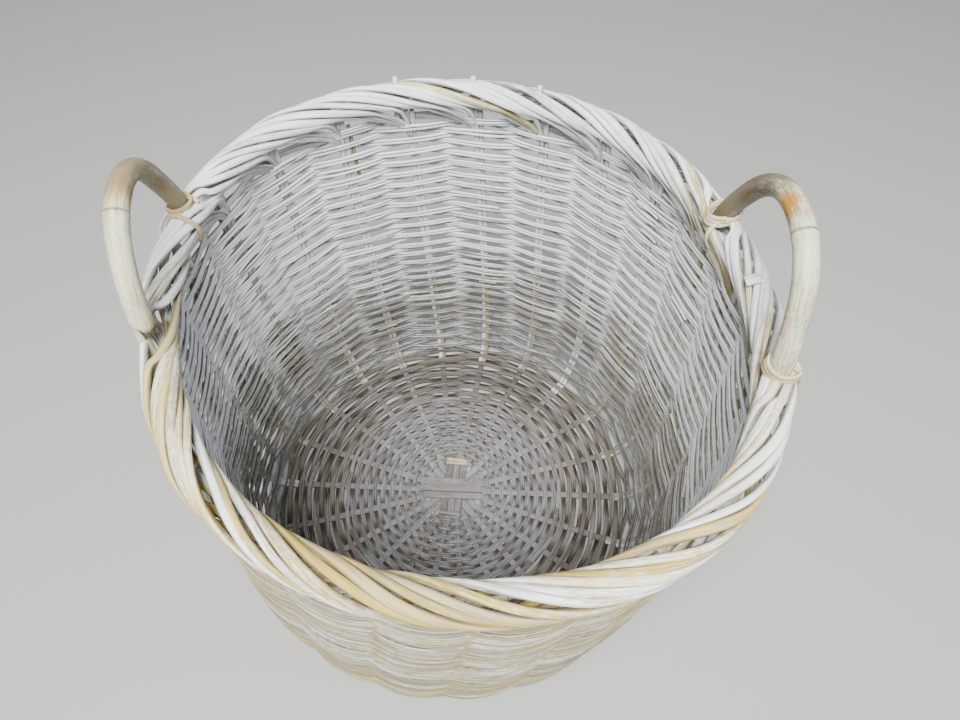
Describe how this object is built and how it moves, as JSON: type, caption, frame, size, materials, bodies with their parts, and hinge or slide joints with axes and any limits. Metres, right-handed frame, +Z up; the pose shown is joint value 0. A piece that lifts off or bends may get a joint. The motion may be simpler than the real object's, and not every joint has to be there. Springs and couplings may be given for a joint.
{
  "type": "laundry basket",
  "caption": "Round barrel-shaped basket woven from pale weathered cane, with a rolled border, an open top and bent pole handles on two sides.",
  "frame": {"origin": "middle of the floor's underside, on the surface the basket stands on", "axes": "+Z up out of the open top, +X towards the right handle, +Y away from the viewer who has the right handle on their right"},
  "size_m": [0.6182, 0.6154, 0.6313],
  "materials": {
    "stake_cane": "whitewashed, weathered peeled cane, warm cream where the wash has worn off, roughness about 0.75",
    "weave_cane": "dull whitewashed weathered weaving cane, greyer inside and creamier outside, roughness about 0.8",
    "floor_cane": "grey-brown unwashed flat cane with a tan stain near the wall, roughness about 0.85",
    "handle_pole": "smooth thick rattan pole, grey tan with brown and orange patches, roughness about 0.55",
    "binding_cane": "smooth cream flat binding cane, roughness about 0.6"
  },
  "bodies": {
    "root": {"base_course_1": "floor_cane", "base_course_2": "floor_cane", "base_course_3": "floor_cane", "base_course_4": "floor_cane", "base_course_5": "floor_cane", "cross_slat_low_1": "floor_cane", "cross_slat_low_2": "floor_cane", "cross_slat_lowest_1": "floor_cane", "cross_slat_lowest_2": "floor_cane", "cross_slat_lowest_3": "floor_cane", "cross_slat_middle_1": "floor_cane", "cross_slat_middle_2": "floor_cane", "cross_slat_middle_3": "floor_cane", "cross_slat_top_1": "floor_cane", "cross_slat_top_2": "floor_cane", "cross_slat_top_3": "floor_cane", "handle_left": "handle_pole", "handle_right": "handle_pole", "lashing_left_back": "binding_cane", "lashing_right_back": "binding_cane", "lashing_right_front": "binding_cane", "slat_binding_back": "binding_cane", "slat_binding_front": "binding_cane", "stake_01": "stake_cane", "stake_02": "stake_cane", "stake_03": "stake_cane", "stake_04": "stake_cane", "stake_05": "stake_cane", "stake_06": "stake_cane", "stake_07": "stake_cane", "stake_08": "stake_cane", "stake_09": "stake_cane", "stake_10": "stake_cane", "stake_11": "stake_cane", "stake_12": "stake_cane", "stake_13": "stake_cane", "stake_14": "stake_cane", "stake_15": "stake_cane", "stake_16": "stake_cane", "stake_17": "stake_cane", "stake_18": "stake_cane", "stake_19": "stake_cane", "stake_20": "stake_cane", "stake_21": "stake_cane", "stake_22": "stake_cane", "wall_course_01": "weave_cane", "wall_course_02": "weave_cane", "wall_course_03": "weave_cane", "wall_course_04": "weave_cane", "wall_course_05": "weave_cane", "wall_course_06": "weave_cane", "wall_course_07": "weave_cane", "wall_course_08": "weave_cane", "wall_course_09": "weave_cane", "wall_course_10": "weave_cane"}
  },
  "joints": []
}
